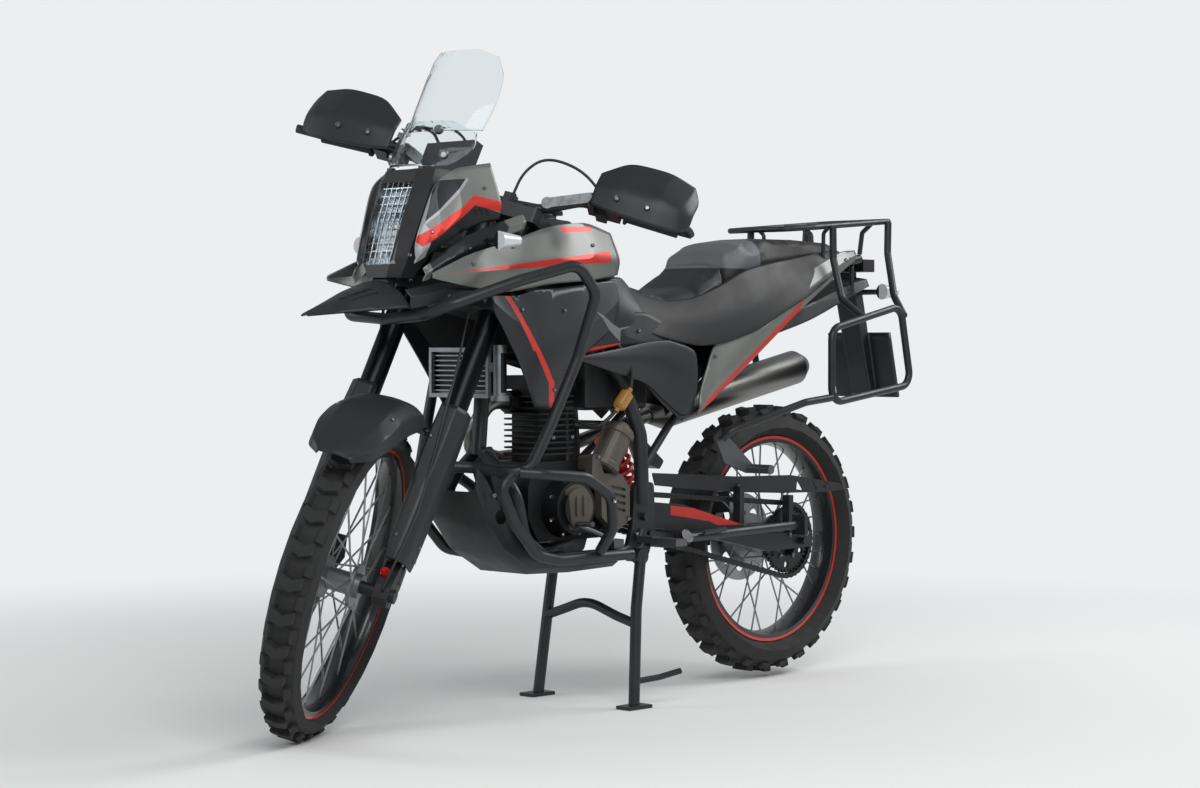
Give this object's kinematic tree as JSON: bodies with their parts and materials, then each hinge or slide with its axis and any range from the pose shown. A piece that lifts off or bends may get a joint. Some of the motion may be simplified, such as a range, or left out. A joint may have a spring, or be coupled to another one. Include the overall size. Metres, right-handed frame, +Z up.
{
  "type": "dual sport motorcycle",
  "caption": "Dual sport motorcycle with knobby tyres, handguards, crash bars, clear wind deflector, luggage rack and pannier loops, parked on its centre stand.",
  "frame": {"origin": "on the floor, at the middle of the motorcycle's bounding box in length and width", "axes": "+X points forwards, +Y to the rider's left, +Z up"},
  "size_m": [2.131, 0.8149, 1.4785],
  "materials": {
    "tyre": "moulded",
    "rim_black": "gloss",
    "hub_silver": "cast",
    "disc_steel": "brushed",
    "dark_steel": "oiled",
    "black_metal": "satin",
    "chrome": "polished",
    "black_plastic": "matte",
    "rubber": "matte",
    "spring_red": "gloss",
    "engine_bronze": "satin",
    "exhaust_steel": "satin",
    "alloy": "satin",
    "silver_grey": "satin",
    "graphite": "satin",
    "clear_screen": "clear",
    "seat_vinyl": "textured",
    "clear_lens": "clear"
  },
  "bodies": {
    "frame": {"main_frame": "black_metal", "swingarm": "black_metal", "shock": "spring_red", "chain": "dark_steel", "chain_guard": "black_plastic", "engine_case": "engine_bronze", "sprocket_cover": "engine_bronze", "cylinder": "black_metal", "exhaust": "exhaust_steel", "oil_cooler": "alloy", "skid_plate": "black_metal", "crash_bars": "black_metal", "fuel_tank": "black_plastic", "tank_shrouds": "silver_grey", "lower_shrouds": "graphite", "fairing": "silver_grey", "headlight": "black_plastic", "beak": "black_plastic", "windscreen": "clear_screen", "wind_deflector": "clear_screen", "instruments": "black_plastic", "side_panels": "silver_grey", "tail_panels": "silver_grey", "rider_seat": "seat_vinyl", "passenger_seat": "seat_vinyl", "luggage_rack": "black_metal", "pannier_racks": "black_metal", "rear_fender": "black_plastic", "signal_lamps": "clear_lens", "footrests": "alloy", "rear_caliper": "black_metal"},
    "steering": {"fork_outer_tubes": "black_metal", "fork_inner_tubes": "chrome", "fork_clamps": "black_metal", "fork_guards": "black_plastic", "front_fender": "black_plastic", "front_caliper": "black_metal", "handlebar": "black_metal", "grips": "rubber", "hand_controls": "black_plastic", "handguards": "black_plastic", "front_cables": "rubber"},
    "front_wheel": {"front_tyre": "tyre", "front_rim": "rim_black", "front_hub": "hub_silver", "front_disc": "disc_steel"},
    "rear_wheel": {"rear_tyre": "tyre", "rear_rim": "rim_black", "rear_hub": "hub_silver", "rear_disc": "disc_steel", "rear_sprocket": "dark_steel"},
    "centre_stand": {"centre_stand": "black_metal"},
    "side_stand": {"side_stand": "black_metal"}
  },
  "joints": [
    {"name": "steering_turn", "type": "hinge", "parent": "frame", "child": "steering", "pos_m": [0.886, 0, 0], "axis": [-0.454, 0, 0.891], "range_deg": [-71, 0]},
    {"name": "front_wheel_spin", "type": "hinge", "parent": "steering", "child": "front_wheel", "pos_m": [0.77087, 0.0355, 0.33559], "axis": [-0.5174, 0.8141, -0.2636], "continuous": true},
    {"name": "rear_wheel_spin", "type": "hinge", "parent": "frame", "child": "rear_wheel", "pos_m": [-0.624, 0, 0.346], "axis": [0, 1, 0], "continuous": true},
    {"name": "centre_stand_fold", "type": "hinge", "parent": "frame", "child": "centre_stand", "pos_m": [-0.036, 0, 0.344], "axis": [0, 1, 0], "range_deg": [0, 75]},
    {"name": "side_stand_fold", "type": "hinge", "parent": "frame", "child": "side_stand", "pos_m": [-0.178, 0.146, 0.378], "axis": [0, 0.8572, 0.515], "range_deg": [-110, 0]}
  ]
}
